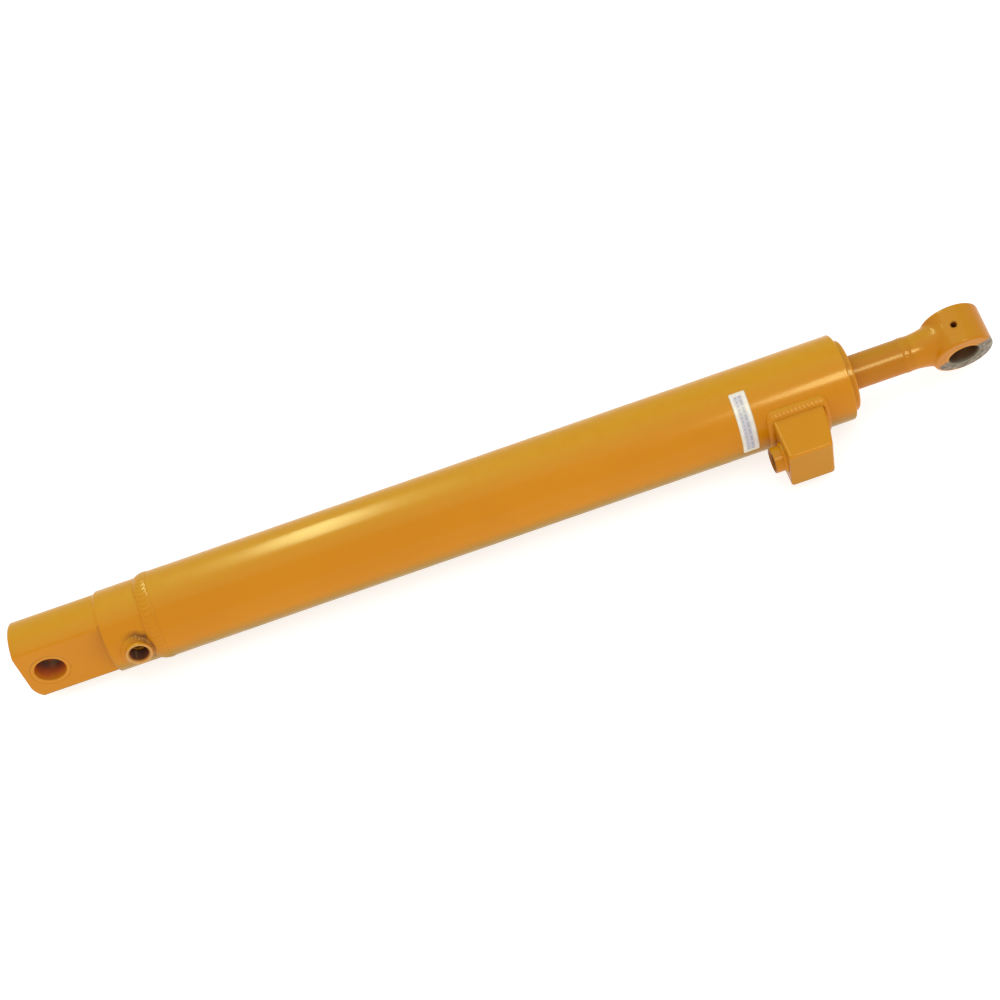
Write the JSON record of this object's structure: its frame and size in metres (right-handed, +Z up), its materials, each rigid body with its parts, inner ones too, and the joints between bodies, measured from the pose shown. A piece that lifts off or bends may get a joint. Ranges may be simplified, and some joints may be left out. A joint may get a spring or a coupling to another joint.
{
  "type": "hydraulic cylinder",
  "caption": "Double-acting welded hydraulic cylinder with a milled base lug, a ported head block and a rod that ends in a cross-drilled eye.",
  "frame": {"origin": "centre of the base pin bore", "axes": "+X along the rod towards the rod eye, +Y along the base pin bore, +Z up; the base port faces -Y, turned 4 degrees up"},
  "size_m": [1.029, 0.1375, 0.0914],
  "materials": {
    "yellow_paint": "glossy industrial yellow enamel",
    "weld_paint": "the same enamel over weld beads",
    "bush_steel": "hardened steel, oiled",
    "spring_steel": "black oxide",
    "machined_steel": "fine turned",
    "rod_chrome": "ground and hard chromed, painted where it is exposed",
    "rubber": "nitrile, matt",
    "seal_polyurethane": "polyurethane, satin",
    "seal_plastic": "bronze-filled PTFE, satin",
    "guide_plastic": "fabric-filled resin, satin",
    "label_film": "white film label"
  },
  "bodies": {
    "barrel": {"barrel_tube": "yellow_paint", "base_cap": "yellow_paint", "base_weld": "weld_paint", "base_bush": "bush_steel", "base_port_boss": "yellow_paint", "base_port_weld": "weld_paint", "head_port_block": "yellow_paint", "head_block_weld": "weld_paint", "head_port_boss": "yellow_paint", "head_boss_weld": "weld_paint", "gland": "yellow_paint", "gland_retaining_ring": "spring_steel", "gland_o_ring": "rubber", "gland_backup_ring": "seal_plastic", "rod_seal": "seal_polyurethane", "rod_wiper": "rubber", "rod_guide_ring": "guide_plastic", "label": "label_film"},
    "piston_rings": {"piston_seal": "seal_plastic", "piston_energiser_ring": "rubber", "piston_guide_ring_rear": "guide_plastic", "piston_guide_ring_front": "guide_plastic"},
    "rod": {"piston_rod": "rod_chrome", "rod_eye": "yellow_paint", "rod_eye_weld": "weld_paint", "rod_eye_bush": "bush_steel", "piston": "machined_steel", "piston_nut": "machined_steel", "nut_lock_screw": "spring_steel", "piston_o_ring": "rubber"}
  },
  "joints": [
    {"name": "rod_slide", "type": "slide", "parent": "barrel", "child": "piston_rings", "axis": [1, 0, 0], "range_m": [0, 0.575]},
    {"name": "rod_spin", "type": "hinge", "parent": "piston_rings", "child": "rod", "pos_m": [0.172, 0, 0], "axis": [1, 0, 0], "continuous": true}
  ]
}
